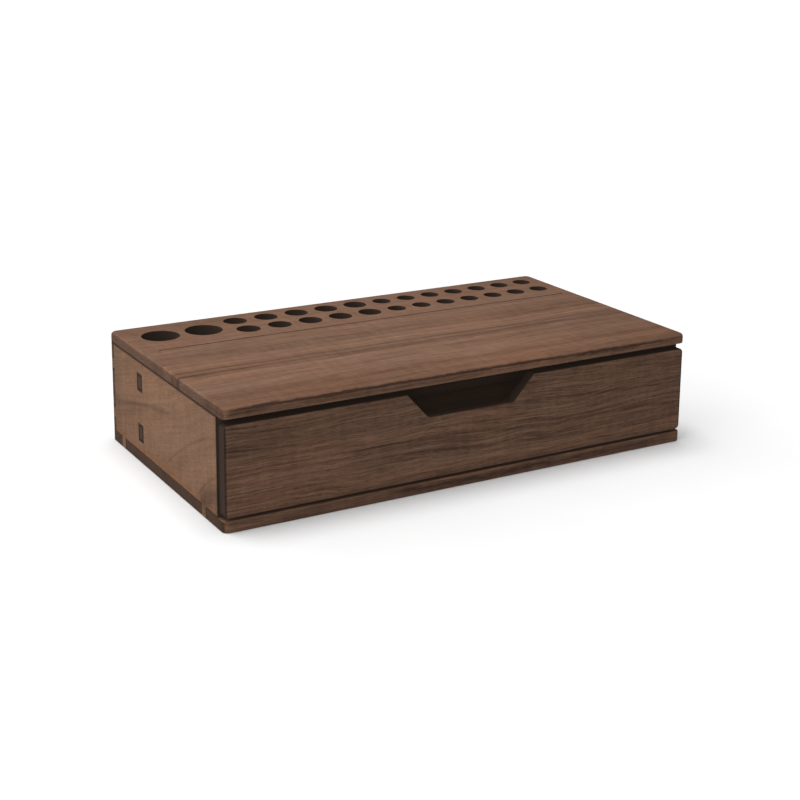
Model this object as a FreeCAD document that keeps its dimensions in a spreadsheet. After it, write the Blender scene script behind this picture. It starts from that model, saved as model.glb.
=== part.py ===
"""Pen stand with a drawer: a low walnut box for a desk.

Frame: millimetres, +X to the right, +Y to the back, +Z up. The origin is on the
desk, under the middle of the stand. Every board is a body of its own. The sheet
"sizes" holds the driving dimensions, and every sketch and feature is bound to it.
"""
import FreeCAD, Part
import math
import os
import re
import Sketcher

# Driving dimensions in millimetres: name, value, what it measures.
SIZES = [
    ("stand_width", 300.0, "top and base board, left to right"),
    ("stand_depth", 166.0, "top and base board, front to back"),
    ("side_height", 55.1, "clear height between base and top board"),
    ("base_thickness", 6.4, "base board"),
    ("top_thickness", 6.0, "both planks of the top board"),
    ("side_thickness", 6.0, "side panels"),
    ("back_thickness", 6.0, "back panel"),
    ("divider_thickness", 6.4, "wall between drawer and pen bay"),
    ("front_plank_depth", 58.4, "front plank of the top board, front to back"),
    ("corner_radius", 3.8, "upright corners of the stand"),
    ("top_edge_radius", 2.0, "upper edge of the top board"),
    ("edge_radius", 0.8, "eased edges everywhere else"),
    ("joint_gap", 0.3, "clearance round each tab and tenon in its slot"),
    ("base_tab_width", 7.0, "side panel tabs that go down through the base"),
    ("front_tab_inset", 15.1, "side panel's front edge to its front base tab"),
    ("rear_tab_inset", 9.9, "back panel to the rear base tab"),
    ("low_joint_inset", 12.0, "base board to the middle of the lower joints"),
    ("high_joint_inset", 12.6, "top board to the middle of the upper joints"),
    ("tenon_height", 9.2, "divider tenons"),
    ("rear_tab_height", 7.6, "side panel tabs that go back through the back panel"),
    ("wide_hole_diameter", 22.5, "pen holes at the left end"),
    ("medium_hole_diameter", 14.4, "pen holes in the middle"),
    ("narrow_hole_diameter", 11.7, "pen holes at the right"),
    ("hole_rim_radius", 0.25, "upper rims of the pen holes"),
    ("left_hole_margin", 11.45, "left end of the top board to the first hole's rim"),
    ("right_hole_margin", 9.25, "right end of the top board to the last hole's rim"),
    ("wide_hole_web", 4.8, "wood between the two wide holes"),
    ("row_web", 5.4, "wood between the two rows of medium holes"),
    ("rear_row_clearance", 1.5, "back panel to the rear row of medium holes"),
    ("front_row_clearance", 3.7, "divider to the front row of medium holes"),
    ("groove_offset", 18.0, "middle of the front row to the scored line"),
    ("groove_width", 0.9, "scored line"),
    ("groove_depth", 0.6, "scored line"),
    ("groove_dot_diameter", 1.6, "deeper dot at each end of the scored line"),
    ("groove_dot_depth", 1.4, "deeper dot at each end of the scored line"),
    ("front_recess", 0.5, "drawer front behind the edge of the base"),
    ("front_thickness", 6.6, "drawer front"),
    ("closing_gap", 0.9, "closed drawer front to the side panels"),
    ("front_side_inset", 1.0, "drawer front's end to the stand's side"),
    ("front_top_gap", 3.3, "drawer front to the top board"),
    ("front_bottom_gap", 1.45, "drawer front to the base board"),
    ("front_corner_radius", 2.5, "outer corners of the drawer front"),
    ("pull_top_width", 82.4, "finger pull at the drawer front's top edge"),
    ("pull_bottom_width", 55.6, "finger pull at its bottom"),
    ("pull_depth", 14.7, "finger pull, downwards"),
    ("pull_corner_radius", 3.0, "bottom corners of the finger pull"),
    ("pull_lip_radius", 1.5, "top corners of the finger pull"),
    ("drawer_wall_thickness", 6.0, "sides and back of the drawer box"),
    ("drawer_side_gap", 0.6, "drawer box to each side panel"),
    ("drawer_run_gap", 0.3, "drawer box above the base board"),
    ("drawer_top_gap", 6.0, "drawer box below the top board"),
    ("drawer_rear_gap", 0.4, "closed drawer box to the divider"),
    ("drawer_tab_height", 8.0, "tabs at both ends of the drawer sides"),
    ("drawer_joint_inset", 4.0, "edge or floor of the drawer box to the nearest tab"),
    ("stub_depth", 3.5, "drawer side tabs into the back of the drawer front"),
    ("floor_thickness", 4.0, "drawer floor"),
    ("floor_rise", 5.0, "drawer floor above the lower edge of the drawer sides"),
    ("floor_let_in", 3.0, "drawer floor's edge inside the wall that holds it"),
    ("floor_gap", 0.2, "clearance of the drawer floor in its slot"),
]

WIDE_COUNT = 2
MEDIUM_COUNT = 5
NARROW_COUNT = 7
CUT_PAST = 1.0  # how far a cut runs past the face or edge that it opens

# Places worked out from the driving dimensions.
STAND_LEFT = "(-stand_width / 2)"
STAND_RIGHT = "(stand_width / 2)"
STAND_FRONT = "(-stand_depth / 2)"
STAND_REAR = "(stand_depth / 2)"
BASE_TOP = "(base_thickness)"
TOP_UNDERSIDE = "(base_thickness + side_height)"
STAND_TOP = "(base_thickness + side_height + top_thickness)"
SEAM = f"({STAND_FRONT} + front_plank_depth)"
BACK_INNER = f"({STAND_REAR} - back_thickness)"
BACK_CORNER_LIMIT = "(back_thickness * 0.9)"
LOW_JOINT = f"({BASE_TOP} + low_joint_inset)"
HIGH_JOINT = f"({TOP_UNDERSIDE} - high_joint_inset)"

REAR_ROW = f"({BACK_INNER} - rear_row_clearance - medium_hole_diameter / 2)"
FRONT_ROW = f"({REAR_ROW} - medium_hole_diameter - row_web)"
WIDE_ROW = f"(({REAR_ROW} + {FRONT_ROW}) / 2)"
DIVIDER_REAR = f"({FRONT_ROW} - medium_hole_diameter / 2 - front_row_clearance)"
DIVIDER_FRONT = f"({DIVIDER_REAR} - divider_thickness)"
GROOVE_LINE = f"({FRONT_ROW} - groove_offset)"

HOLES_LEFT = f"({STAND_LEFT} + left_hole_margin)"
HOLES_RIGHT = f"({STAND_RIGHT} - right_hole_margin)"
HOLES_TAKEN = (f"({WIDE_COUNT} * wide_hole_diameter + {MEDIUM_COUNT} * medium_hole_diameter"
               f" + {NARROW_COUNT} * narrow_hole_diameter + {WIDE_COUNT - 1} * wide_hole_web)")
HOLE_WEB = f"(({HOLES_RIGHT} - {HOLES_LEFT} - {HOLES_TAKEN}) / {MEDIUM_COUNT + NARROW_COUNT})"
WIDE_PITCH = "(wide_hole_diameter + wide_hole_web)"
MEDIUM_PITCH = f"(medium_hole_diameter + {HOLE_WEB})"
NARROW_PITCH = f"(narrow_hole_diameter + {HOLE_WEB})"
WIDE_FIRST = f"({HOLES_LEFT} + wide_hole_diameter / 2)"
MEDIUM_FIRST = (f"({HOLES_LEFT} + {WIDE_COUNT} * wide_hole_diameter + {WIDE_COUNT - 1} * wide_hole_web"
                f" + {HOLE_WEB} + medium_hole_diameter / 2)")
NARROW_FIRST = f"({HOLES_RIGHT} - narrow_hole_diameter / 2 - {NARROW_COUNT - 1} * {NARROW_PITCH})"

FRONT_FACE = f"({STAND_FRONT} + front_recess)"
FRONT_REAR = f"({FRONT_FACE} + front_thickness)"
FRONT_LOW = f"({BASE_TOP} + front_bottom_gap)"
FRONT_HIGH = f"({TOP_UNDERSIDE} - front_top_gap)"
PANEL_FRONT = f"({FRONT_REAR} + closing_gap)"

DRAWER_LOW = f"({BASE_TOP} + drawer_run_gap)"
DRAWER_HIGH = f"({TOP_UNDERSIDE} - drawer_top_gap)"
DRAWER_REAR = f"({DIVIDER_FRONT} - drawer_rear_gap)"
BOX_REAR = f"({DRAWER_REAR} - drawer_wall_thickness)"
FLOOR_LOW = f"({DRAWER_LOW} + floor_rise)"
FLOOR_HIGH = f"({FLOOR_LOW} + floor_thickness)"
LOW_BOX_JOINT = f"({FLOOR_HIGH} + drawer_joint_inset + drawer_tab_height / 2)"
HIGH_BOX_JOINT = f"({DRAWER_HIGH} - drawer_joint_inset - drawer_tab_height / 2)"

# Distances in from a side of the stand to the faces of the drawer's side.
BOX_OUTSIDE = "(side_thickness + drawer_side_gap)"
BOX_INSIDE = f"({BOX_OUTSIDE} + drawer_wall_thickness)"
FLOOR_EDGE = f"({BOX_INSIDE} - floor_let_in)"

PANEL_JOINTS = (LOW_JOINT, HIGH_JOINT)
BOX_JOINTS = (LOW_BOX_JOINT, HIGH_BOX_JOINT)
PANEL_HEIGHT = (BASE_TOP, TOP_UNDERSIDE)
BOX_HEIGHT = (DRAWER_LOW, DRAWER_HIGH)
FLOOR_SLOT = (f"({FLOOR_LOW} - floor_gap)", f"({FLOOR_HIGH} + floor_gap)")

SIDES = ("left", "right")
NAMES = re.compile(r"\b(" + "|".join(name for name, _, _ in SIZES) + r")\b")
TOLERANCE = 0.01


def make_sheet(doc):
    """Write the driving dimensions into a spreadsheet, one row each."""
    sheet = doc.addObject("Spreadsheet::Sheet", "sizes")
    for row, (name, value, meaning) in enumerate(SIZES, start=1):
        sheet.set(f"A{row}", name)
        sheet.set(f"B{row}", str(value))
        sheet.set(f"C{row}", meaning)
        sheet.setAlias(f"B{row}", name)
    doc.recompute()


def bind(target, prop, expression):
    """Tie a property to the sheet."""
    target.setExpression(prop, NAMES.sub(r"sizes.\1", expression))


# Spans: pairs of expressions, the lower end first.

def inward(side, near, far):
    """The span of X between two distances in from a side of the stand."""
    if side == "left":
        return f"({STAND_LEFT} + {near})", f"({STAND_LEFT} + {far})"
    return f"({STAND_RIGHT} - {far})", f"({STAND_RIGHT} - {near})"


def between_sides(distance):
    """The span of X that stays a distance clear of both sides."""
    return f"({STAND_LEFT} + {distance})", f"({STAND_RIGHT} - {distance})"


def around(middle, size):
    """A span of a size about its middle."""
    return f"({middle} - {size} / 2)", f"({middle} + {size} / 2)"


def wider(span, extra="joint_gap"):
    """A span with as much added at each end."""
    low, high = span
    return f"({low} - {extra})", f"({high} + {extra})"


def through(span):
    """A span for a cut that goes right through a board."""
    return wider(span, CUT_PAST)


def rectangle(across, up):
    """The corners of a rectangle between two spans."""
    (left, right), (low, high) = across, up
    return [(left, low), (right, low), (right, high), (left, high)]


# Sketches. XY_Plane is drawn in X and Y, XZ_Plane in X and Z, YZ_Plane in Y and Z.

def make_sketch(body, name, plane, place):
    """A sketch on one of its body's origin planes, moved along the third axis to a place."""
    sketch = body.newObject("Sketcher::SketchObject", name)
    support = next(f for f in body.Origin.OriginFeatures if f.Role == plane)
    sketch.AttachmentSupport = [(support, "")]
    sketch.MapMode = "FlatFace"
    faces_forward = plane == "XZ_Plane"
    bind(sketch, "AttachmentOffset.Base.z", f"-{place}" if faces_forward else place)
    return sketch


def add_dimension(sketch, expression, kind, *where):
    """Add a dimension whose last argument is its starting value, and bind it."""
    index = sketch.addConstraint(Sketcher.Constraint(kind, *where))
    bind(sketch, f"Constraints[{index}]", expression)


def pin_point(sketch, geometry, point, position):
    """Hold a point of the sketch at its two coordinates."""
    start = sketch.getPoint(geometry, point)
    across, up = position
    add_dimension(sketch, across, "DistanceX", -1, 1, geometry, point, start.x)
    add_dimension(sketch, up, "DistanceY", -1, 1, geometry, point, start.y)


def draw_polygon(sketch, corners):
    """Draw a closed outline through the corners. It starts as a regular one."""
    first = sketch.GeometryCount
    count = len(corners)
    turns = [2 * math.pi * (i + 0.5) / count for i in range(count)]
    points = [FreeCAD.Vector(math.cos(turn), math.sin(turn), 0) for turn in turns]
    for i in range(count):
        sketch.addGeometry(Part.LineSegment(points[i], points[(i + 1) % count]), False)
    for i in range(count):
        following = first + (i + 1) % count
        sketch.addConstraint(Sketcher.Constraint("Coincident", first + i, 2, following, 1))
    for i, corner in enumerate(corners):
        pin_point(sketch, first + i, 1, corner)


def draw_circle(sketch, centre, diameter):
    """Draw a circle."""
    origin = FreeCAD.Vector(1, 1, 0)
    circle = sketch.addGeometry(Part.Circle(origin, FreeCAD.Vector(0, 0, 1), 1.0), False)
    add_dimension(sketch, diameter, "Diameter", circle, 2.0)
    pin_point(sketch, circle, 3, centre)


# Features.

def make_body(doc, name):
    """An empty body for one piece, named as its node."""
    body = doc.addObject("PartDesign::Body", name)
    body.Label = name
    doc.recompute()
    return body


def extrude(body, kind, name, plane, span, polygons=(), circles=()):
    """Add (Pad) or cut away (Pocket) outlines over a span of the third axis."""
    volume = 0.0 if body.Shape.isNull() else body.Shape.Volume
    low, high = span
    starts_low = (kind == "Pad") != (plane == "XZ_Plane")
    sketch = make_sketch(body, f"{name}_sketch", plane, low if starts_low else high)
    for corners in polygons:
        draw_polygon(sketch, corners)
    for centre, diameter in circles:
        draw_circle(sketch, centre, diameter)
    feature = body.newObject(f"PartDesign::{kind}", name)
    feature.Profile = sketch
    bind(feature, "Length", f"{high} - {low}")
    body.Document.recompute()
    change = body.Shape.Volume - volume
    if change * (1 if kind == "Pad" else -1) < TOLERANCE:
        raise RuntimeError(f"{body.Label}: {name} changes nothing")
    return feature


def pad(body, name, plane, span, *polygons):
    """Add straight-sided outlines to the body."""
    return extrude(body, "Pad", name, plane, span, polygons)


def pocket(body, name, plane, span, *polygons):
    """Cut straight-sided outlines out of the body."""
    return extrude(body, "Pocket", name, plane, span, polygons)


def repeat_along_x(body, name, feature, count, pitch):
    """Repeat a feature to the right."""
    pattern = body.newObject("PartDesign::LinearPattern", name)
    pattern.Originals = [feature]
    pattern.Direction = (feature.Profile[0], ["H_Axis"])
    pattern.Mode = "Spacing"
    pattern.Occurrences = count
    bind(pattern, "Offset", pitch)
    body.Tip = pattern
    body.Document.recompute()


def is_at(box, axis, place):
    """Whether a box is flat and lies at a place on an axis."""
    low = getattr(box, f"{axis}Min")
    high = getattr(box, f"{axis}Max")
    return abs(low - place) < TOLERANCE and abs(high - place) < TOLERANCE


def runs_along(box, axis):
    """Whether a box is a line along an axis."""
    others = [getattr(box, f"{other}Length") for other in "XYZ" if other != axis]
    return max(others) < TOLERANCE


def fillet(body, name, radius, chosen, closed=False):
    """Round the open or closed edges whose boxes are chosen, given the body's own box."""
    whole = body.Shape.BoundBox
    edges = [f"Edge{i}" for i, edge in enumerate(body.Shape.Edges, start=1)
             if edge.isClosed() == closed and chosen(edge.BoundBox, whole)]
    if not edges:
        raise RuntimeError(f"{body.Label}: {name} finds no edge")
    base = body.Tip
    feature = body.newObject("PartDesign::Fillet", name)
    feature.Base = (base, edges)
    bind(feature, "Radius", radius)
    body.Document.recompute()


# Pieces of the stand.

def panel_tabs_in_base():
    """The spans of Y of a side panel's two tabs through the base."""
    front = f"({PANEL_FRONT} + front_tab_inset)"
    rear = f"({BACK_INNER} - rear_tab_inset)"
    return (front, f"({front} + base_tab_width)"), (f"({rear} - base_tab_width)", rear)


def make_base_board(doc):
    """The board under everything, notched for the side panels."""
    body = make_body(doc, "base_board")
    height = ("(0)", BASE_TOP)
    outline = rectangle(between_sides("(0)"), (STAND_FRONT, STAND_REAR))
    pad(body, "board", "XY_Plane", height, outline)
    fillet(body, "upright_corners", "corner_radius", lambda box, whole: runs_along(box, "Z"))
    fillet(body, "eased_edges", "min(edge_radius; base_thickness * 0.4)",
           lambda box, whole: is_at(box, "Z", whole.ZMin) or is_at(box, "Z", whole.ZMax))
    notches = [rectangle(inward(side, f"(-{CUT_PAST})", "(side_thickness + joint_gap)"), wider(tab))
               for side in SIDES for tab in panel_tabs_in_base()]
    pocket(body, "tab_notches", "XY_Plane", through(height), *notches)


def make_top_plank(doc, name, depth, outer_side):
    """One plank of the top board, rounded on all sides but the seam."""
    body = make_body(doc, name)
    pad(body, "board", "XY_Plane", (TOP_UNDERSIDE, STAND_TOP), rectangle(between_sides("(0)"), depth))

    def on_seam(box, whole):
        seam = whole.YMax if outer_side == "YMin" else whole.YMin
        return is_at(box, "Y", seam)

    fillet(body, "upright_corners", "corner_radius",
           lambda box, whole: runs_along(box, "Z") and is_at(box, "Y", getattr(whole, outer_side)))
    fillet(body, "upper_edge", "min(top_edge_radius; top_thickness * 0.5)",
           lambda box, whole: is_at(box, "Z", whole.ZMax) and not on_seam(box, whole))
    fillet(body, "lower_edge", "min(edge_radius; top_thickness * 0.4)",
           lambda box, whole: is_at(box, "Z", whole.ZMin) and not on_seam(box, whole))
    return body


def make_top_rear_plank(doc):
    """The plank with the pen holes and the scored line."""
    body = make_top_plank(doc, "top_rear_plank", (SEAM, STAND_REAR), "YMax")
    board = through((TOP_UNDERSIDE, STAND_TOP))
    rows = (FRONT_ROW, REAR_ROW)
    for name, first, places, diameter, count, pitch in (
            ("wide_hole", WIDE_FIRST, (WIDE_ROW,), "wide_hole_diameter", WIDE_COUNT, WIDE_PITCH),
            ("medium_hole", MEDIUM_FIRST, rows, "medium_hole_diameter", MEDIUM_COUNT, MEDIUM_PITCH),
            ("narrow_hole", NARROW_FIRST, rows, "narrow_hole_diameter", NARROW_COUNT, NARROW_PITCH)):
        circles = [((first, place), diameter) for place in places]
        hole = extrude(body, "Pocket", name, "XY_Plane", board, circles=circles)
        repeat_along_x(body, f"{name}_row", hole, count, pitch)
    fillet(body, "hole_rims", "min(hole_rim_radius; top_thickness * 0.2)",
           lambda box, whole: is_at(box, "Z", whole.ZMax), closed=True)
    line = rectangle((HOLES_LEFT, HOLES_RIGHT), around(GROOVE_LINE, "groove_width"))
    pocket(body, "scored_line", "XY_Plane", (f"({STAND_TOP} - groove_depth)", STAND_TOP), line)
    ends = [((end, GROOVE_LINE), "groove_dot_diameter") for end in (HOLES_LEFT, HOLES_RIGHT)]
    extrude(body, "Pocket", "line_ends", "XY_Plane", (f"({STAND_TOP} - groove_dot_depth)", STAND_TOP),
            circles=ends)


def make_side_panel(doc, side):
    """A side panel with tabs into the base and the back, and the divider's mortises."""
    body = make_body(doc, f"{side}_side_panel")
    thickness = inward(side, "(0)", "side_thickness")
    outer_side = "XMin" if side == "left" else "XMax"
    tabs = [rectangle(tab, ("(0)", BASE_TOP)) for tab in panel_tabs_in_base()]
    tabs += [rectangle((BACK_INNER, STAND_REAR), around(joint, "rear_tab_height"))
             for joint in PANEL_JOINTS]
    mortises = [rectangle(wider((DIVIDER_FRONT, DIVIDER_REAR)), wider(around(joint, "tenon_height")))
                for joint in PANEL_JOINTS]
    pad(body, "board", "YZ_Plane", thickness, rectangle((PANEL_FRONT, BACK_INNER), PANEL_HEIGHT))
    pad(body, "tabs", "YZ_Plane", thickness, *tabs)
    pocket(body, "divider_mortises", "YZ_Plane", through(thickness), *mortises)
    fillet(body, "rounded_rear_tabs", f"min(corner_radius; {BACK_CORNER_LIMIT})",
           lambda box, whole: runs_along(box, "Z") and is_at(box, "Y", whole.YMax)
           and is_at(box, "X", getattr(whole, outer_side)))
    fillet(body, "eased_base_tabs", "edge_radius",
           lambda box, whole: runs_along(box, "Y") and is_at(box, "Z", whole.ZMin)
           and is_at(box, "X", getattr(whole, outer_side)))


def notch_ends(body, outside, wall, depth, joints, tab_height):
    """Cut both ends of an upright board open for the tabs of the boards that meet it."""
    notches = [rectangle(inward(side, f"({outside} - {CUT_PAST})", f"({outside} + {wall} + joint_gap)"),
                         wider(around(joint, tab_height)))
               for side in SIDES for joint in joints]
    pocket(body, "tab_notches", "XZ_Plane", through(depth), *notches)


def make_back_panel(doc):
    """The back, full width, held by the side panels' rear tabs."""
    body = make_body(doc, "back_panel")
    depth = (BACK_INNER, STAND_REAR)
    pad(body, "board", "XZ_Plane", depth, rectangle(between_sides("(0)"), PANEL_HEIGHT))
    fillet(body, "upright_corners", f"min(corner_radius; {BACK_CORNER_LIMIT})",
           lambda box, whole: runs_along(box, "Z") and is_at(box, "Y", whole.YMax))
    notch_ends(body, "(0)", "side_thickness", depth, PANEL_JOINTS, "rear_tab_height")


def make_divider_panel(doc):
    """The wall between the drawer and the pens, tenoned through the side panels."""
    body = make_body(doc, "divider_panel")
    depth = (DIVIDER_FRONT, DIVIDER_REAR)
    tenons = [rectangle(inward(side, "(0)", "side_thickness"), around(joint, "tenon_height"))
              for side in SIDES for joint in PANEL_JOINTS]
    pad(body, "board", "XZ_Plane", depth, rectangle(between_sides("side_thickness"), PANEL_HEIGHT))
    pad(body, "through_tenons", "XZ_Plane", depth, *tenons)


# Pieces of the drawer.

def make_drawer_front(doc):
    """The drawer front, with a finger pull cut into its top edge."""
    body = make_body(doc, "drawer_front")
    depth = (FRONT_FACE, FRONT_REAR)
    pad(body, "board", "XZ_Plane", depth,
        rectangle(between_sides("front_side_inset"), (FRONT_LOW, FRONT_HIGH)))
    top_left, top_right = around("0", "pull_top_width")
    low_left, low_right = around("0", "pull_bottom_width")
    pull_low = f"({FRONT_HIGH} - pull_depth)"
    pull_high = f"({FRONT_HIGH} + {CUT_PAST})"
    pull = [(low_left, pull_low), (low_right, pull_low), (top_right, FRONT_HIGH), (top_right, pull_high),
            (top_left, pull_high), (top_left, FRONT_HIGH)]
    pocket(body, "finger_pull", "XZ_Plane", through(depth), pull)

    def inside(low, place, high):
        return low + TOLERANCE < place < high - TOLERANCE

    fillet(body, "pull_bottom_corners", "pull_corner_radius",
           lambda box, whole: runs_along(box, "Y") and inside(whole.ZMin, box.ZMin, whole.ZMax))
    fillet(body, "pull_lips", "pull_lip_radius",
           lambda box, whole: runs_along(box, "Y") and is_at(box, "Z", whole.ZMax)
           and inside(whole.XMin, box.XMin, whole.XMax))
    fillet(body, "corners", "front_corner_radius",
           lambda box, whole: runs_along(box, "Y")
           and (is_at(box, "X", whole.XMin) or is_at(box, "X", whole.XMax)))
    fillet(body, "eased_front", "edge_radius", lambda box, whole: is_at(box, "Y", whole.YMin))
    mortises = [rectangle(wider(inward(side, BOX_OUTSIDE, BOX_INSIDE)),
                          wider(around(joint, "drawer_tab_height")))
                for side in SIDES for joint in BOX_JOINTS]
    pocket(body, "stub_mortises", "XZ_Plane",
           (f"({FRONT_REAR} - stub_depth - joint_gap)", f"({FRONT_REAR} + {CUT_PAST})"), *mortises)
    cut_floor_slot(body, (f"({FRONT_REAR} - floor_let_in - floor_gap)", f"({FRONT_REAR} + {CUT_PAST})"))


def cut_floor_slot(body, depth):
    """Cut the drawer floor's slot into the drawer's front or back."""
    pocket(body, "floor_slot", "XZ_Plane", depth, rectangle(wider(between_sides(FLOOR_EDGE), "floor_gap"),
                                                            FLOOR_SLOT))


def make_drawer_side(doc, side):
    """A side of the drawer box, which slides on the base board."""
    body = make_body(doc, f"drawer_{side}_side")
    thickness = inward(side, BOX_OUTSIDE, BOX_INSIDE)
    ends = ((f"({FRONT_REAR} - stub_depth)", FRONT_REAR), (BOX_REAR, DRAWER_REAR))
    tabs = [rectangle(end, around(joint, "drawer_tab_height")) for end in ends for joint in BOX_JOINTS]
    pad(body, "board", "YZ_Plane", thickness, rectangle((FRONT_REAR, BOX_REAR), BOX_HEIGHT))
    fillet(body, "eased_top", "min(edge_radius; drawer_wall_thickness * 0.4)",
           lambda box, whole: runs_along(box, "Y") and is_at(box, "Z", whole.ZMax))
    pad(body, "tabs", "YZ_Plane", thickness, *tabs)
    slot = inward(side, f"({FLOOR_EDGE} - floor_gap)", f"({BOX_INSIDE} + {CUT_PAST})")
    pocket(body, "floor_slot", "YZ_Plane", slot, rectangle(through((FRONT_REAR, BOX_REAR)), FLOOR_SLOT))


def make_drawer_back(doc):
    """The back of the drawer box, behind its sides and held by their tabs."""
    body = make_body(doc, "drawer_back")
    depth = (BOX_REAR, DRAWER_REAR)
    pad(body, "board", "XZ_Plane", depth, rectangle(between_sides(BOX_OUTSIDE), BOX_HEIGHT))
    fillet(body, "eased_top", "min(edge_radius; drawer_wall_thickness * 0.4)",
           lambda box, whole: runs_along(box, "X") and is_at(box, "Z", whole.ZMax))
    notch_ends(body, BOX_OUTSIDE, "drawer_wall_thickness", depth, BOX_JOINTS, "drawer_tab_height")
    cut_floor_slot(body, (f"({BOX_REAR} - {CUT_PAST})", f"({BOX_REAR} + floor_let_in + floor_gap)"))


def make_drawer_bottom(doc):
    """The drawer's floor, let into the four pieces round it."""
    body = make_body(doc, "drawer_bottom")
    pad(body, "board", "XY_Plane", (FLOOR_LOW, FLOOR_HIGH),
        rectangle(between_sides(FLOOR_EDGE), wider((FRONT_REAR, BOX_REAR), "floor_let_in")))


def check(doc):
    """Stop at a failed feature or a piece without a valid solid."""
    for item in doc.Objects:
        if "Invalid" in item.State or "Error" in item.State:
            raise RuntimeError(f"{item.Label} failed: {item.State}")
    for piece in pieces(doc):
        if piece.Shape.isNull() or not piece.Shape.isValid() or len(piece.Shape.Solids) != 1:
            raise RuntimeError(f"{piece.Label} is no valid single solid")


def pieces(doc):
    """The bodies, one for each piece."""
    return [item for item in doc.Objects if item.TypeId == "PartDesign::Body"]


def main():
    doc = FreeCAD.newDocument("pen_stand")
    make_sheet(doc)
    make_base_board(doc)
    make_top_rear_plank(doc)
    make_top_plank(doc, "top_front_plank", (STAND_FRONT, SEAM), "YMin")
    make_back_panel(doc)
    make_divider_panel(doc)
    make_drawer_front(doc)
    make_drawer_back(doc)
    make_drawer_bottom(doc)
    for side in SIDES:
        make_side_panel(doc, side)
        make_drawer_side(doc, side)
    doc.recompute()
    check(doc)
    os.makedirs("parts", exist_ok=True)
    for piece in pieces(doc):
        piece.Shape.exportStep(f"parts/{piece.Label}.step")


main()
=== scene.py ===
"""Walnut pen stand with a drawer: the wood of each board, its laser-cut edges, and a pale studio.

Lengths are millimetres, and are turned into metres where Blender needs them. Those in the
studio's settings are metres already. The stand is in the frame of its solids: +X to the
right along the drawer front, +Y to the back, +Z up, with the origin on the desk under its
middle.
"""

from math import pi, radians
from typing import NamedTuple

import bmesh
import bpy
from bpy.props import FloatProperty, FloatVectorProperty, PointerProperty
from mathutils import Matrix, Vector


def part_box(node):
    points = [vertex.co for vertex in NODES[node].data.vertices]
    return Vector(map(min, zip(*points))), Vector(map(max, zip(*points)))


bl_info = {
    "name": "Walnut pen stand",
    "version": (1, 0, 0),
    "blender": (4, 5, 0),
    "location": "View3D > Sidebar > Pen stand",
    "description": "Finishes the boards of a walnut pen stand with a drawer and sets up a studio",
    "category": "Material",
}

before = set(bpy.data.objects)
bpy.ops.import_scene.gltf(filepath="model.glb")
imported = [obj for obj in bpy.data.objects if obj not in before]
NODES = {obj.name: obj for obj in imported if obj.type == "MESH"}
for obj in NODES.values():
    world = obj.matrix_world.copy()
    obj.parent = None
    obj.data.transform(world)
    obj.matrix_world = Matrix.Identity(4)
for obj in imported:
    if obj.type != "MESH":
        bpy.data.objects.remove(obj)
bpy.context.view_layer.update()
MM = 0.001


# ---------------------------------------------------------------- what a user would change

class WalnutSettings(bpy.types.PropertyGroup):
    """Colours and sheen of the oiled walnut."""

    light: FloatVectorProperty(
        name="Light wood", description="Earlywood and pale bands", subtype="COLOR", size=3,
        min=0.0, max=1.0, default=(0.258, 0.152, 0.102))
    middle: FloatVectorProperty(
        name="Middle wood", description="Most of a board's face", subtype="COLOR", size=3,
        min=0.0, max=1.0, default=(0.150, 0.083, 0.0545))
    dark: FloatVectorProperty(
        name="Dark wood", description="Latewood and mineral streaks", subtype="COLOR", size=3,
        min=0.0, max=1.0, default=(0.046, 0.024, 0.016))
    scorched: FloatVectorProperty(
        name="Scorched wall", description="The lighter parts of the walls that the laser cut",
        subtype="COLOR", size=3, min=0.0, max=1.0, default=(0.046, 0.028, 0.0215))
    charred: FloatVectorProperty(
        name="Charred wall", description="The darker parts of the walls that the laser cut",
        subtype="COLOR", size=3, min=0.0, max=1.0, default=(0.038, 0.028, 0.0235))
    roughness: FloatProperty(
        name="Roughness", description="Roughness of the oiled face", subtype="FACTOR",
        min=0.0, max=1.0, default=0.72)
    specular: FloatProperty(
        name="Specular level", description="Strength of the oil's sheen", subtype="FACTOR",
        min=0.0, max=1.0, default=0.045)


class StudioSettings(bpy.types.PropertyGroup):
    """Camera, lights and floor."""

    azimuth: FloatProperty(
        name="Azimuth", description="Camera's turn about the stand, 0 in front", subtype="ANGLE",
        default=radians(-29.75745))
    elevation: FloatProperty(
        name="Elevation", description="Camera's height angle", subtype="ANGLE",
        default=radians(13.51600))
    roll: FloatProperty(
        name="Roll", description="Camera's turn about its own axis", subtype="ANGLE",
        default=radians(0.49371))
    distance: FloatProperty(
        name="Distance", description="Camera to the point that it looks at", subtype="DISTANCE",
        unit="LENGTH", default=0.931524)
    aim: FloatVectorProperty(
        name="Aim", description="Point that the camera looks at", subtype="XYZ", unit="LENGTH", size=3,
        precision=5, default=(0.0041025, 0.0160919, 0.1015884))
    lens: FloatProperty(name="Focal length", description="In millimetres", min=10.0, default=69.9045)
    shift: FloatVectorProperty(
        name="Lens shift", description="Sideways and up, as parts of the picture's width", size=2,
        default=(0.010887, -0.162636))
    key: FloatProperty(name="Key", description="Soft light from the left", min=0.0, default=2.3)
    fill: FloatProperty(name="Fill", description="Weak light from beside the camera", min=0.0, default=0.35)
    overhead: FloatProperty(
        name="Overhead", description="Very soft light from above", min=0.0, default=2.8)
    sky: FloatProperty(name="Sky", description="Even light from all round", min=0.0, default=0.15)
    glare: FloatVectorProperty(
        name="Glare", description="How far the white room lifts the darkest tones", subtype="COLOR", size=3,
        min=0.0, max=0.1, precision=4, default=(0.0085, 0.0062, 0.0046))
    floor_glow: FloatProperty(
        name="Floor glow", description="Keeps the floor white past the shadow", min=0.0, default=0.02)
    floor_radius: FloatProperty(
        name="Floor radius", description="Radius of the round floor", subtype="DISTANCE", unit="LENGTH",
        default=12.0)


# ---------------------------------------------------------------- shader maths

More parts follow.
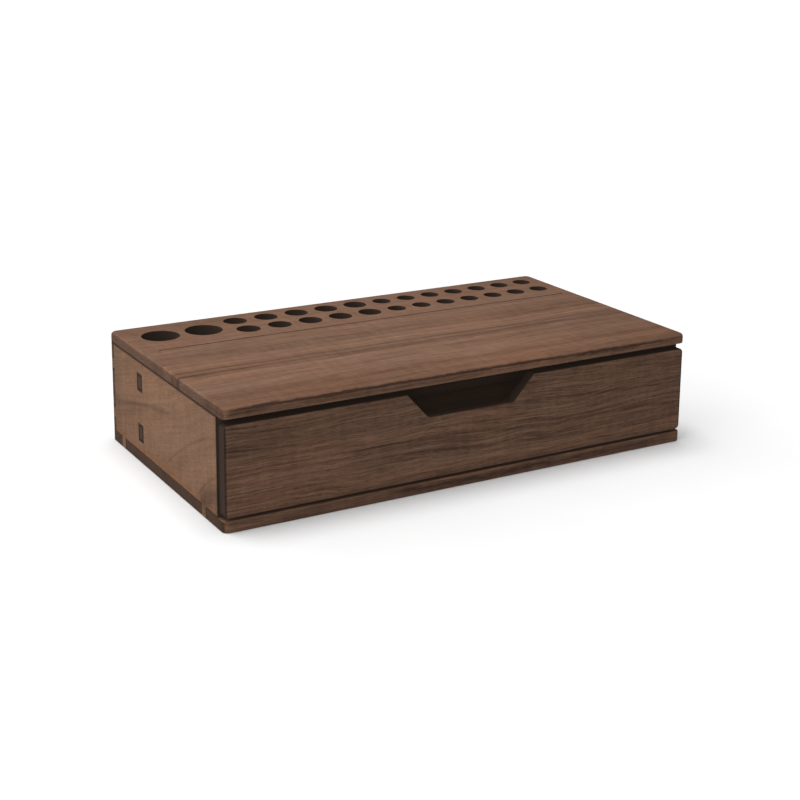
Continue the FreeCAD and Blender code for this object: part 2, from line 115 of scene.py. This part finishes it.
MIX_FACTOR, MIX_FIRST, MIX_SECOND = 0, 6, 7  # a Mix node's inputs when it mixes colours
MIX_RESULT = 2  # and its output
NOISE_MEAN = 0.5


class Wire:
    """A socket of a material's node tree that takes part in expressions."""

    def __init__(self, finish, socket):
        self.finish = finish
        self.socket = socket

    def __add__(self, other):
        return self.finish.maths("ADD", self, other)

    def __radd__(self, other):
        return self.finish.maths("ADD", other, self)

    def __sub__(self, other):
        return self.finish.maths("SUBTRACT", self, other)

    def __rsub__(self, other):
        return self.finish.maths("SUBTRACT", other, self)

    def __mul__(self, other):
        return self.finish.maths("MULTIPLY", self, other)

    def __rmul__(self, other):
        return self.finish.maths("MULTIPLY", other, self)

    def __abs__(self):
        return self.finish.maths("ABSOLUTE", self)

    def root(self):
        """The square root."""
        return self.finish.maths("SQRT", self)

    def most(self, other):
        """The higher of two values."""
        return self.finish.maths("MAXIMUM", self, other)

    def rise(self, low, high):
        """0 below low, 1 above high, and a smooth rise between them."""
        return self.finish.node("ShaderNodeMapRange", {"interpolation_type": "SMOOTHSTEP"},
                                {"Value": self, "From Min": low, "From Max": high})

    def bell(self, width):
        """1 where the value is 0, falling smoothly to nothing at about twice the width."""
        return self.finish.maths("EXPONENT", self * self * (-1 / width ** 2))


class Noise(NamedTuple):
    """A layer of smooth noise about 0, which mostly stays within half its strength.

    pitch: how far apart its patches are, along, across and through the board. detail: how much
    finer noise it has in it.
    """

    pitch: tuple
    detail: float
    strength: float = 1.0


class Rings(NamedTuple):
    """A layer of growth rings: how far apart they are, and how much finer noise they have."""

    pitch: float
    detail: float


class Finish:
    """A material under construction, on a board whose axes are its grain, its width and its thickness."""

    def __init__(self, name, axes="XYZ"):
        self.material = bpy.data.materials.new(name)
        self.material.use_nodes = True
        self.tree = self.material.node_tree
        self.tree.nodes.clear()
        self.axes = axes
        self.place = self.split("ShaderNodeTexCoord", "Object", 1 / MM)
        self.facing = self.split("ShaderNodeNewGeometry", "Normal", 1.0)

    def node(self, kind, settings, values, output=0):
        """Add a node: its settings first, then its sockets' values or links."""
        node = self.tree.nodes.new(kind)
        for name, setting in settings.items():
            if name == "stops":
                for place, _ in setting[2:]:
                    node.color_ramp.elements.new(place)
                for element, (place, colour) in zip(node.color_ramp.elements, setting):
                    element.position = place
                    element.color = (*colour, 1.0)
            else:
                setattr(node, name, setting)
        for name, value in values.items():
            if isinstance(value, Wire):
                self.tree.links.new(value.socket, node.inputs[name])
            else:
                node.inputs[name].default_value = value
        return Wire(self, node.outputs[output]) if node.outputs else None

    def split(self, kind, output, scale):
        """The three parts of a node's vector, each times a scale, in the order of the board's axes."""
        whole = self.node(kind, {}, {}, output)
        scaled = self.node("ShaderNodeVectorMath", {"operation": "SCALE"}, {0: whole, "Scale": scale})
        parts = self.node("ShaderNodeSeparateXYZ", {}, {0: scaled}).socket.node
        return [Wire(self, parts.outputs[axis]) for axis in self.axes]

    def maths(self, operation, *values):
        """One Math node."""
        return self.node("ShaderNodeMath", {"operation": operation}, dict(enumerate(values)))

    def noise(self, layer):
        """A layer of noise on the board's places."""
        scaled = [place * (1 / step) for place, step in zip(self.place, layer.pitch)]
        vector = self.node("ShaderNodeCombineXYZ", {}, dict(enumerate(scaled)))
        texture = self.node("ShaderNodeTexNoise", {"noise_dimensions": "3D"},
                            {"Vector": vector, "Scale": 1.0, "Detail": layer.detail})
        return (texture - NOISE_MEAN) * layer.strength

    def rings(self, radius, layer, seed):
        """Rings about 0 that change with the radius alone."""
        texture = self.node("ShaderNodeTexNoise", {"noise_dimensions": "1D"},
                            {"W": radius * (1 / layer.pitch) + seed, "Scale": 1.0, "Detail": layer.detail})
        return texture - NOISE_MEAN

    def blend(self, factor, first, second):
        """A mix of two colours."""
        return self.node("ShaderNodeMix", {"data_type": "RGBA"},
                         {MIX_FACTOR: factor, MIX_FIRST: opaque(first), MIX_SECOND: opaque(second)},
                         MIX_RESULT)

    def tint(self, colour, parts):
        """A colour times a factor for each of its parts."""
        factors = self.node("ShaderNodeCombineColor", {}, dict(enumerate(parts)))
        return self.node("ShaderNodeMix", {"data_type": "RGBA", "blend_type": "MULTIPLY"},
                         {MIX_FACTOR: 1.0, MIX_FIRST: colour, MIX_SECOND: factors}, MIX_RESULT)

    def surface(self, height, sockets):
        """Close the material with a surface that has these sockets, and a bump from a height in mm."""
        bump = self.node("ShaderNodeBump", {}, {"Distance": MM, "Height": height})
        shader = self.node("ShaderNodeBsdfPrincipled", {}, {**sockets, "Normal": bump})
        self.node("ShaderNodeOutputMaterial", {}, {"Surface": shader})
        return self.material


def opaque(colour):
    """A colour with its fourth part, or a wire as it is."""
    return colour if isinstance(colour, Wire) else (*colour, 1.0)


# ---------------------------------------------------------------- the wood's patterns

FLECK = Noise((2.4, 1.3, 1.3), 1.0, 0.5)  # short flecks across the grain
WANDER = Noise((38.0, 900.0, 900.0), 2.0, 2.6)  # how far a streak strays from its line, in mm
RAGGED = Noise((5.0, 3.0, 3.0), 2.0, 1.6)  # the same on a board's edge, where it is ragged
DRIFT = Noise((95.0, 32.0, 60.0), 1.0, 11.0)  # long waves in the grain, in mm
KINK = Noise((22.0, 9.0, 20.0), 1.0, 2.4)  # short waves in the grain, in mm
FIBRE = Noise((26.0, 0.7, 0.7), 2.0)  # fine lines along the grain
PORES = Noise((7.0, 0.55, 0.55), 2.0)  # short dark pits, where this is high
RIPPLE = Noise((4.5, 17.0, 17.0), 1.0, 0.22)  # faint bars across the grain
GLOW = Noise((70.0, 26.0, 26.0), 1.0, 0.35)  # broad patches that are redder or less red
SPECKLE = Noise((2.0, 0.6, 0.6), 2.0)  # end grain
SOOT = Noise((4.0, 4.0, 4.0), 3.0)  # patches of char on a cut wall
PAPER = Noise((60.0, 60.0, 60.0), 2.0)  # the floor's faint clouds
SPREAD = 0.3  # noise of strength 1 seldom goes further from 0

BROAD_RINGS = Rings(8.0, 1.0)
FINE_RINGS = Rings(1.5, 2.0)
FINE_RING_DEPTH = 0.5
RING_SHIFT = 7.3  # in pitches, from one board's rings to the next board's

DARKEST, MIDDLE_TONE, LIGHTEST = 0.0, 0.5, 1.0  # tones of the dark, middle and light wood
PORE_EDGE = (0.06, 0.24)  # where noise starts to be a pore, and where it is all pore
PORE_SHADE = 0.36  # how much a pore darkens the wood
SPECKLE_SHADE = 0.4  # how much speckle changes end grain
PAINTED_FALLOFF_FROM = 30.0  # where a board's painted shade starts, darkening it towards its right end as the key light from the left would fall off
EDGE_WANDER = 0.3  # part of the wander that a streak on a board's edge keeps
STREAK_IN, STREAK_OUT = 0.14, 0.82  # parts of its length where a streak is whole, and starts to fade

CUT_LINE = (0.45, 1.25)  # how far from a cut its browned line starts to fade, and ends
CUT_SHADE, END_CUT_SHADE = 0.72, 0.86  # how much that line darkens a face, and an end
SANDED = (0.6, 1.0)  # depths inside the stand's outline where a cut wall is all clean, and all burnt
END_FACING = (0.6, 0.85)  # how squarely a face looks along the grain, from face to end grain
FLAT_FACING = (0.5, 0.8)  # how squarely it looks through the board, from cut wall to face

ROSY = (0.3, -0.1, -0.45)  # what redder wood gains in red, green and blue
WARM = (0.06, 0.0, -0.37)  # what yellower wood gains

FIBRE_HEIGHT, PORE_DEPTH, SPECKLE_HEIGHT = 0.02, 0.03, 0.03
FIBRE_ROUGH, PORE_ROUGH, BURNT_ROUGH = 0.08, 0.1, 0.15


# ---------------------------------------------------------------- boards

class Streak(NamedTuple):
    """A line of darker wood along the grain, or paler where its depth is below 0.

    It runs from start to end, each a place along and across the board, bows out between them, and
    fades near both. through: it lies on the board's edges, so its places are along and through.
    red: how much redder than the rest it is.
    """

    start: tuple
    end: tuple
    width: float
    depth: float
    bow: float = 0.0
    through: bool = False
    red: float = 0.0


class Board(NamedTuple):
    """How one board was sawn, cut and cleaned.

    axes: its grain, its width and its thickness. pith: the middle of its tree, across and
    through. lean: how far the grain climbs across the board for each mm along it. shade: how
    light it is. warmth: how much yellower than the rest it is. rosy: how much redder. contrast:
    how strong its grain is. bands: how strong its broad rings are. wave: how far its grain
    wanders. fleck: how strongly short flecks cross it. fade: how much painted shade
    darkens its right end, as the key light from the left would fall off.
    ends: how light its end grain is. flush: its outer edges were sanded with the stand's. cuts:
    rectangles on its face, from and to along, from and to across, whose edges the laser has
    browned. end_cuts: the same on its ends, through and across.
    """

    axes: str
    pith: tuple
    lean: float = 0.0
    shade: float = 1.0
    warmth: float = 0.0
    rosy: float = 0.0
    contrast: float = 1.0
    bands: float = 0.3
    wave: float = 1.0
    fleck: float = 0.15
    fade: float = 0.0
    ends: float = 0.62
    flush: bool = False
    cuts: tuple = ()
    end_cuts: tuple = ()
    streaks: tuple = ()


def in_mm(corner):
    """A corner of a box from the frame, in mm."""
    return [round(part / MM, 3) for part in corner]


def beside(tabs):
    """The stretches before, between and after some tabs."""
    edges = (-FAR, *(edge for tab in tabs for edge in tab), FAR)
    return tuple(zip(edges[::2], edges[1::2]))


HALF_WIDTH, HALF_DEPTH, BASE_TOP = in_mm(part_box("base_board")[1])
CORNER = 3.8  # radius of the corners of the top and the base
TOP_UNDERSIDE = in_mm(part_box("top_rear_plank")[0])[2]
SIDE_FRONT = in_mm(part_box("left_side_panel")[0])[1]
SIDE_INSIDE = in_mm(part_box("right_side_panel")[0])[0]
BACK_INSIDE = in_mm(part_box("back_panel")[0])[1]
DIVIDER = [in_mm(corner)[1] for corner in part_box("divider_panel")]
DRAWER_LINE = in_mm(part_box("drawer_front")[1])[0] - 0.2  # the browned line just inside its ends

LEFT, RIGHT = -205.0, 235.0  # past a long board's ends, so that a streak is whole where it leaves
FAR = 400.0  # off every board
TENONS = ((13.8, 23.0), (44.3, 53.5))  # heights of the divider's tenons
BASE_TABS = ((-59.9, -52.9), (60.1, 67.1))  # places along Y of a side's tabs down into the base
BACK_TABS = ((14.6, 22.2), (45.1, 52.7))  # heights of a side's tabs into the back
MORTISES = tuple((*DIVIDER, *tenon) for tenon in TENONS)
SIDE_CUTS = (
    *MORTISES,
    (SIDE_FRONT, FAR, -FAR, TOP_UNDERSIDE),
    *((*gap, -FAR, BASE_TOP) for gap in beside(BASE_TABS)),
    *((BACK_INSIDE, FAR, *gap) for gap in beside(BACK_TABS)))
BACK_CUTS = (
    (-FAR, FAR, BASE_TOP, TOP_UNDERSIDE),
    *((-FAR, -SIDE_INSIDE, *tab) for tab in BACK_TABS),
    *((SIDE_INSIDE, FAR, *tab) for tab in BACK_TABS))

BOARDS = {
    "top_rear_plank": Board(
        axes="XYZ", pith=(40.0, -60.0), lean=0.012, shade=0.98, rosy=0.05, contrast=0.72, bands=0.10,
        fade=0.12, flush=True,
        streaks=(
            Streak((LEFT, 9.5), (RIGHT, 10.5), width=4.0, depth=0.10),
            Streak((LEFT, -7.5), (RIGHT, -8.5), width=4.0, depth=-0.08),
            Streak((LEFT, -15.6), (RIGHT, -17.0), width=1.5, depth=0.20, bow=-1.0),
            Streak((LEFT, -19.5), (RIGHT, -21.5), width=3.2, depth=0.09, bow=-1.0),
            Streak((LEFT, -23.3), (RIGHT, -23.5), width=1.1, depth=0.20),
            Streak((LEFT, -23.5), (-95.0, -23.4), width=0.6, depth=0.24),
            Streak((LEFT, 70.0), (-60.0, 77.0), width=9.0, depth=0.07),
            Streak((LEFT, 0.5), (RIGHT, 2.0), width=4.0, depth=0.06),
            Streak((60.0, 1.0), (RIGHT, 3.0), width=9.0, depth=0.08),
        )),
    "top_front_plank": Board(
        axes="XYZ", pith=(-70.0, -50.0), lean=-0.012, shade=0.98, rosy=0.05, contrast=0.72, bands=0.10,
        fade=0.18, flush=True,
        streaks=(
            Streak((LEFT, -25.2), (RIGHT, -25.4), width=0.7, depth=0.16),
            Streak((LEFT, -25.4), (-122.0, -25.4), width=0.6, depth=0.24),
            Streak((LEFT, -29.5), (-20.0, -31.0), width=2.4, depth=-0.11),
            Streak((LEFT, -34.0), (20.0, -40.0), width=8.0, depth=-0.08),
            Streak((LEFT, -50.0), (90.0, -52.0), width=6.0, depth=-0.08),
            Streak((LEFT, -66.0), (RIGHT, -63.0), width=4.5, depth=0.20, red=0.2),
            Streak((LEFT, -77.0), (RIGHT, -78.0), width=5.0, depth=0.19, red=0.25),
            Streak((20.0, -32.0), (RIGHT, -36.0), width=8.0, depth=0.06),
            Streak((-156.0, 64.0), (20.0, 64.4), width=2.6, depth=0.16, through=True),
            # These three darken a thin line along the rounded top arris of the front edge.
            Streak((-149.5, 66.2), (-60.0, 66.1), width=0.6, depth=0.55, through=True),
            Streak((-110.0, 66.1), (60.0, 65.8), width=0.6, depth=0.6, through=True),
            Streak((10.0, 66.2), (152.0, 65.0), width=0.55, depth=0.5, through=True),
            Streak((66.0, 65.0), (118.0, 64.6), width=1.0, depth=0.36, through=True),
            Streak((-148.0, 64.6), (-122.0, 64.8), width=1.2, depth=0.2, through=True),
        )),
    "left_side_panel": Board(
        axes="YZX", pith=(10.0, -60.0), lean=0.30, shade=1.06, warmth=0.28, contrast=0.36, bands=0.35,
        wave=1.2, fleck=0.55, flush=True, cuts=SIDE_CUTS,
        streaks=(
            Streak((88.0, 23.5), (-20.0, 45.5), width=1.6, depth=0.20, bow=1.5),
            Streak((84.0, 21.0), (-14.0, 41.0), width=4.0, depth=0.07, bow=1.5),
            Streak((2.0, 8.0), (-80.0, 50.0), width=1.0, depth=0.14, bow=6.0),
            Streak((0.0, 4.0), (-84.0, 44.0), width=4.5, depth=0.10, bow=6.0),
            Streak((-46.0, 8.0), (-84.0, 34.0), width=1.0, depth=0.14, bow=2.0),
            Streak((-48.0, 5.0), (-92.0, 24.0), width=7.0, depth=0.30, bow=2.0),
            Streak((40.0, 50.0), (-100.0, 56.0), width=7.0, depth=-0.07),
            Streak((40.0, 34.0), (-100.0, 34.0), width=12.0, depth=-0.10),
            Streak((130.0, 40.0), (62.0, 40.0), width=60.0, depth=0.09),
            Streak((140.0, 8.5), (-140.0, 9.0), width=2.8, depth=0.05, red=0.24),
        )),
    "right_side_panel": Board(
        axes="YZX", pith=(60.0, 55.0), lean=-0.08, shade=1.08, warmth=0.3, contrast=0.6, wave=1.2,
        fleck=0.6, flush=True, cuts=SIDE_CUTS,
        streaks=(
            Streak((120.0, 44.0), (-30.0, 31.0), width=1.4, depth=0.20, bow=3.0),
            Streak((20.0, 16.0), (-100.0, 24.0), width=1.8, depth=0.18, bow=-3.0),
        )),
    "back_panel": Board(
        axes="XZY", pith=(-30.0, 60.0), lean=0.03, ends=0.45, flush=True, cuts=BACK_CUTS,
        streaks=(
            Streak((LEFT, 24.0), (40.0, 40.0), width=1.5, depth=0.28, bow=4.0),
            Streak((-20.0, 15.0), (RIGHT, 21.0), width=1.2, depth=0.24, bow=4.0),
        )),
    "base_board": Board(
        axes="XYZ", pith=(30.0, -55.0), lean=0.02, shade=0.91, rosy=0.09, fade=0.14, ends=0.35, flush=True,
        streaks=(
            Streak((-60.0, 3.5), (150.0, 3.0), width=1.8, depth=0.38, through=True),
            Streak((-130.0, 3.5), (-20.0, 3.5), width=1.8, depth=0.14, through=True),
        )),
    "divider_panel": Board(
        axes="XZY", pith=(90.0, -40.0), lean=0.03, ends=0.31, flush=True, end_cuts=MORTISES),
    # Its low shade is painted shade: the drawer front is the same walnut as the top, darkened for its face
    # turned from the key light.
    "drawer_front": Board(
        axes="XZY", pith=(110.0, 35.0), lean=0.012, shade=0.725, rosy=0.1, contrast=1.38, bands=0.22,
        wave=0.9, fleck=0.75, fade=0.06, ends=0.34, cuts=((-DRAWER_LINE, DRAWER_LINE, -FAR, FAR),),
        streaks=(
            Streak((LEFT, 46.0), (-104.0, 42.0), width=9.0, depth=0.13),
            Streak((-153.0, 30.0), (-70.0, 25.0), width=5.5, depth=-0.18, red=0.05),
            Streak((-130.0, 37.0), (-20.0, 36.0), width=4.0, depth=-0.06, red=0.08),
            Streak((-80.0, 32.0), (40.0, 27.0), width=1.1, depth=0.20, bow=1.5),
            Streak((-60.0, 24.0), (20.0, 20.0), width=1.4, depth=0.22, bow=1.5),
            Streak((0.0, 35.0), (RIGHT, 26.0), width=1.0, depth=0.20, bow=-4.0),
            Streak((20.0, 22.0), (RIGHT, 26.0), width=1.2, depth=0.22, bow=-7.0),
            Streak((30.0, 44.0), (RIGHT, 38.0), width=1.0, depth=0.20, bow=-3.0),
            Streak((20.0, 20.0), (RIGHT, 21.0), width=2.4, depth=0.11),
            Streak((-240.0, 13.4), (RIGHT, 13.0), width=3.0, depth=-0.22, red=0.12),
        )),
    "drawer_left_side": Board(axes="YZX", pith=(80.0, 30.0), lean=0.05),
    "drawer_right_side": Board(axes="YZX", pith=(-20.0, 50.0), lean=-0.04),
    "drawer_back": Board(axes="XZY", pith=(-15.0, -40.0), lean=0.03, warmth=-0.6),
    "drawer_bottom": Board(axes="XYZ", pith=(10.0, -45.0), lean=-0.03, shade=1.25),
}


def streak_mask(along, across, streak, wander):
    """1 along a streak's line and 0 away from it."""
    reach = 1 / (streak.end[0] - streak.start[0])
    part = along * reach - streak.start[0] * reach
    line = part * (streak.end[1] - streak.start[1]) + streak.start[1]
    if streak.bow:
        line = line + part * (1 - part) * (4 * streak.bow)  # as high as the bow halfway along
    window = part.rise(0.0, STREAK_IN) * (1 - part.rise(STREAK_OUT, 1.0))
    return (across - line + wander).bell(streak.width) * window


def outline_depth(finish):
    """How far inside the stand's outline a point lies, in mm, whichever way the board runs."""
    place = dict(zip(finish.axes, finish.place))
    right = abs(place["X"]) - (HALF_WIDTH - CORNER)
    back = abs(place["Y"]) - (HALF_DEPTH - CORNER)
    outside = right.most(0.0), back.most(0.0)
    reach = (outside[0] * outside[0] + outside[1] * outside[1]).root()
    inside = -1 * right.most(back)
    return inside.most(0.0) + CORNER - reach


def cut_edges(first, second, cuts):
    """1 on the edges of some rectangles, 0 away from them."""
    edges = 0.0
    for cut in cuts:
        sides = [abs(place - (low + high) / 2) - (high - low) / 2
                 for place, low, high in ((first, *cut[:2]), (second, *cut[2:]))]
        edges = (1 - abs(sides[0].most(sides[1])).rise(*CUT_LINE)).most(edges)
    return edges


def hue(rosy, warmth=0.0):
    """Factors for red, green and blue that make wood redder or yellower."""
    return [rosy * red_gain + (1 + warmth * warm_gain) for red_gain, warm_gain in zip(ROSY, WARM)]


def growth_rings(finish, board, seed):
    """Rings round the pith, as they meet the board's faces."""
    side = finish.place[1] - board.pith[0]
    deep = finish.place[2] - board.pith[1]
    radius = (side * side + deep * deep).root()
    broad = finish.rings(radius, BROAD_RINGS, seed) * board.bands
    return broad + finish.rings(radius, FINE_RINGS, seed) * FINE_RING_DEPTH


def walnut(node):
    """The oiled walnut of one board: rings, fibre, pores, streaks, end grain and laser cuts."""
    board = BOARDS[node]
    colours = bpy.context.scene.stand_walnut
    finish = Finish(node + "_walnut", board.axes)
    along, across, through = finish.place
    unsanded = outline_depth(finish).rise(*SANDED) if board.flush else 1.0
    fleck = finish.noise(FLECK) * board.fleck
    wander = finish.noise(WANDER)
    bend = (finish.noise(DRIFT) + finish.noise(KINK)) * board.wave
    finish.place[1] = across + along * board.lean + bend  # what follows bends with the grain
    rings = growth_rings(finish, board, list(BOARDS).index(node) * RING_SHIFT)
    fibre = finish.noise(FIBRE)
    pores = finish.noise(PORES).rise(*PORE_EDGE)
    speckle = finish.noise(SPECKLE)

    tone = (rings + fibre) * board.contrast + finish.noise(RIPPLE) + fleck + MIDDLE_TONE
    glow = finish.noise(GLOW) + board.rosy
    edge_wander = wander * EDGE_WANDER + finish.noise(RAGGED)
    for streak in board.streaks:
        where, stray = (through, edge_wander) if streak.through else (across, wander)
        mask = streak_mask(along, where, streak, stray)
        tone = tone - mask * streak.depth
        if streak.red:
            glow = glow + mask * streak.red
    stops = ((DARKEST, colours.dark), (MIDDLE_TONE, colours.middle), (LIGHTEST, colours.light))
    colour = finish.node("ShaderNodeValToRGB", {"stops": stops}, {"Fac": tone})

    level = (1 - pores * (PORE_SHADE * board.contrast)) * board.shade
    # Painted shade: darker towards the right end, standing in for the key light falling off from the left.
    if board.fade:
        level = level * (1 - along.rise(PAINTED_FALLOFF_FROM, HALF_WIDTH) * board.fade)
    end = abs(finish.facing[0]).rise(*END_FACING)
    level = level * (1 - end * (1 - board.ends - speckle * SPECKLE_SHADE))
    if board.cuts:
        level = level * (1 - cut_edges(along, across, board.cuts) * CUT_SHADE)
    if board.end_cuts:
        level = level * (1 - cut_edges(through, across, board.end_cuts) * end * END_CUT_SHADE)
    colour = finish.tint(colour, [level * part for part in hue(glow, board.warmth)])

    burnt = (1 - abs(finish.facing[2]).rise(*FLAT_FACING)) * unsanded
    # Cut walls take their board's shade too, so the drawer front's painted shade darkens its char as well.
    charred, scorched = ([part * board.shade * gain for part, gain in zip(burn, hue(board.rosy))]
                         for burn in (colours.charred, colours.scorched))
    soot = finish.blend(finish.noise(SOOT).rise(-SPREAD, SPREAD), charred, scorched)
    return finish.surface(
        fibre * FIBRE_HEIGHT - pores * PORE_DEPTH + speckle * end * SPECKLE_HEIGHT,
        {"Base Color": finish.blend(burnt, colour, soot),
         "Roughness": pores * PORE_ROUGH + fibre * FIBRE_ROUGH + colours.roughness + burnt * BURNT_ROUGH,
         "Specular IOR Level": colours.specular})


def dress(*nodes):
    """Give some boards their walnut, in the slots that they already have."""
    for node in nodes:
        NODES[node].material_slots[0].material = walnut(node)


# ---------------------------------------------------------------- operators

class TopPlanks(bpy.types.Operator):
    """Finish the two planks of the top board"""

    bl_idname = "stand.top_planks"
    bl_label = "Top planks"

    def execute(self, context):
        dress("top_rear_plank", "top_front_plank")
        return {"FINISHED"}


class Panels(bpy.types.Operator):
    """Finish the side, back and divider panels"""

    bl_idname = "stand.panels"
    bl_label = "Panels"

    def execute(self, context):
        dress("left_side_panel", "right_side_panel", "back_panel", "divider_panel")
        return {"FINISHED"}


class BaseBoard(bpy.types.Operator):
    """Finish the base board"""

    bl_idname = "stand.base_board"
    bl_label = "Base board"

    def execute(self, context):
        dress("base_board")
        return {"FINISHED"}


class DrawerFront(bpy.types.Operator):
    """Finish the drawer front"""

    bl_idname = "stand.drawer_front"
    bl_label = "Drawer front"

    def execute(self, context):
        dress("drawer_front")
        return {"FINISHED"}


class DrawerBox(bpy.types.Operator):
    """Finish the sides, back and bottom of the drawer"""

    bl_idname = "stand.drawer_box"
    bl_label = "Drawer box"

    def execute(self, context):
        dress("drawer_left_side", "drawer_right_side", "drawer_back", "drawer_bottom")
        return {"FINISHED"}


class Sun(NamedTuple):
    """A sun, named as its strength is in the settings."""

    name: str
    comes_from: tuple
    degrees_wide: float


SUNS = (
    Sun("key", (-0.85, 0.35, 0.58), 95.0),
    Sun("fill", (-0.516, -0.797, 0.33), 12.0),
    Sun("overhead", (-0.05, 0.09, 1.0), 40.0),
)
SENSOR_WIDTH = 36.0
WHITE = (1.0, 1.0, 1.0)
FLOOR_SIDES = 96
FLOOR_WHITES = (0.69, 0.69, 0.693), (0.70, 0.70, 0.70)
FLOOR_ROUGH = 0.9
PAPER_HEIGHT = 0.02
DOME_SIDES, DOME_RINGS = 64, 32
DOME_REACH = 0.99  # its radius, as a part of the floor's
DOME_GLOW = 1.05
DOME_HIDDEN_FROM = ("diffuse", "glossy", "transmission", "volume_scatter", "shadow")


def add_mesh(name, shape):
    """A new object whose mesh is made from a bmesh."""
    mesh = bpy.data.meshes.new(name)
    shape.to_mesh(mesh)
    shape.free()
    made = bpy.data.objects.new(name, mesh)
    bpy.context.scene.collection.objects.link(made)
    return made


class Studio(bpy.types.Operator):
    """Set up the camera, the lights, the floor and the backdrop"""

    bl_idname = "stand.studio"
    bl_label = "Studio"

    def execute(self, context):
        studio = context.scene.stand_studio
        self.add_camera(context, studio)
        self.add_lights(context, studio)
        self.add_floor(studio)
        self.add_backdrop(studio)
        view = context.scene.view_settings
        view.view_transform = "Standard"
        view.use_curve_mapping = True
        view.curve_mapping.black_level = [-part for part in studio.glare]
        view.curve_mapping.update()
        return {"FINISHED"}

    def add_camera(self, context, studio):
        """The camera, looking at its aim from a distance."""
        lens = bpy.data.cameras.new("camera")
        lens.lens = studio.lens
        lens.sensor_width = SENSOR_WIDTH
        lens.shift_x, lens.shift_y = studio.shift
        camera = bpy.data.objects.new("camera", lens)
        turn = (Matrix.Rotation(studio.azimuth, 4, "Z") @ Matrix.Rotation(pi / 2 - studio.elevation, 4, "X")
                @ Matrix.Rotation(studio.roll, 4, "Z"))
        back = turn @ Vector((0.0, 0.0, studio.distance))
        camera.matrix_world = Matrix.Translation(Vector(studio.aim) + back) @ turn
        context.scene.collection.objects.link(camera)
        context.scene.camera = camera

    def add_lights(self, context, studio):
        """Three suns, and an even white sky."""
        for sun in SUNS:
            light = bpy.data.lights.new(sun.name, "SUN")
            light.angle = radians(sun.degrees_wide)
            light.energy = getattr(studio, sun.name)
            lamp = bpy.data.objects.new(sun.name, light)
            lamp.rotation_euler = Vector(sun.comes_from).to_track_quat("Z", "Y").to_euler()
            context.scene.collection.objects.link(lamp)
        world = bpy.data.worlds.new("studio_world")
        world.use_nodes = True
        sky = world.node_tree.nodes["Background"]
        sky.inputs["Color"].default_value = opaque(WHITE)
        sky.inputs["Strength"].default_value = studio.sky
        context.scene.world = world

    def add_floor(self, studio):
        """A round white floor."""
        shape = bmesh.new()
        bmesh.ops.create_circle(shape, cap_ends=True, segments=FLOOR_SIDES, radius=studio.floor_radius)
        floor = add_mesh("floor", shape)
        finish = Finish("floor_paper")
        clouds = finish.noise(PAPER)
        floor.data.materials.append(finish.surface(clouds * PAPER_HEIGHT, {
            "Base Color": finish.blend(clouds.rise(-SPREAD, SPREAD), *FLOOR_WHITES),
            "Roughness": FLOOR_ROUGH,
            "Specular IOR Level": 0.0,
            "Emission Color": opaque(WHITE),
            "Emission Strength": studio.floor_glow}))

    def add_backdrop(self, studio):
        """A white dome behind everything, which lights nothing."""
        shape = bmesh.new()
        bmesh.ops.create_uvsphere(shape, u_segments=DOME_SIDES, v_segments=DOME_RINGS,
                                  radius=studio.floor_radius * DOME_REACH)
        bmesh.ops.reverse_faces(shape, faces=shape.faces)
        dome = add_mesh("backdrop", shape)
        finish = Finish("backdrop_white")
        glow = finish.node("ShaderNodeEmission", {}, {"Color": opaque(WHITE), "Strength": DOME_GLOW})
        finish.node("ShaderNodeOutputMaterial", {}, {"Surface": glow})
        dome.data.materials.append(finish.material)
        for rays in DOME_HIDDEN_FROM:
            setattr(dome, "visible_" + rays, False)


MAKERS = (Studio, TopPlanks, Panels, BaseBoard, DrawerFront, DrawerBox)


class StandPanel(bpy.types.Panel):
    """Lists the stand's settings and finishes"""

    bl_idname = "VIEW3D_PT_pen_stand"
    bl_label = "Pen stand"
    bl_space_type = "VIEW_3D"
    bl_region_type = "UI"
    bl_category = "Pen stand"

    def draw(self, context):
        for settings in (context.scene.stand_walnut, context.scene.stand_studio):
            box = self.layout.box()
            for name in settings.__annotations__:
                box.prop(settings, name)
        for maker in MAKERS:
            self.layout.operator(maker.bl_idname)


CLASSES = (WalnutSettings, StudioSettings, *MAKERS, StandPanel)


def register():
    """Register every class and put the settings on the scene."""
    for each in CLASSES:
        bpy.utils.register_class(each)
    bpy.types.Scene.stand_walnut = PointerProperty(type=WalnutSettings)
    bpy.types.Scene.stand_studio = PointerProperty(type=StudioSettings)


def unregister():
    """Take the settings and the classes off again."""
    del bpy.types.Scene.stand_studio
    del bpy.types.Scene.stand_walnut
    for each in reversed(CLASSES):
        bpy.utils.unregister_class(each)


def main():
    """Finish every board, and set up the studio."""
    register()
    bpy.ops.stand.studio()
    bpy.ops.stand.top_planks()
    bpy.ops.stand.panels()
    bpy.ops.stand.base_board()
    bpy.ops.stand.drawer_front()
    bpy.ops.stand.drawer_box()


if __name__ == "__main__":
    main()
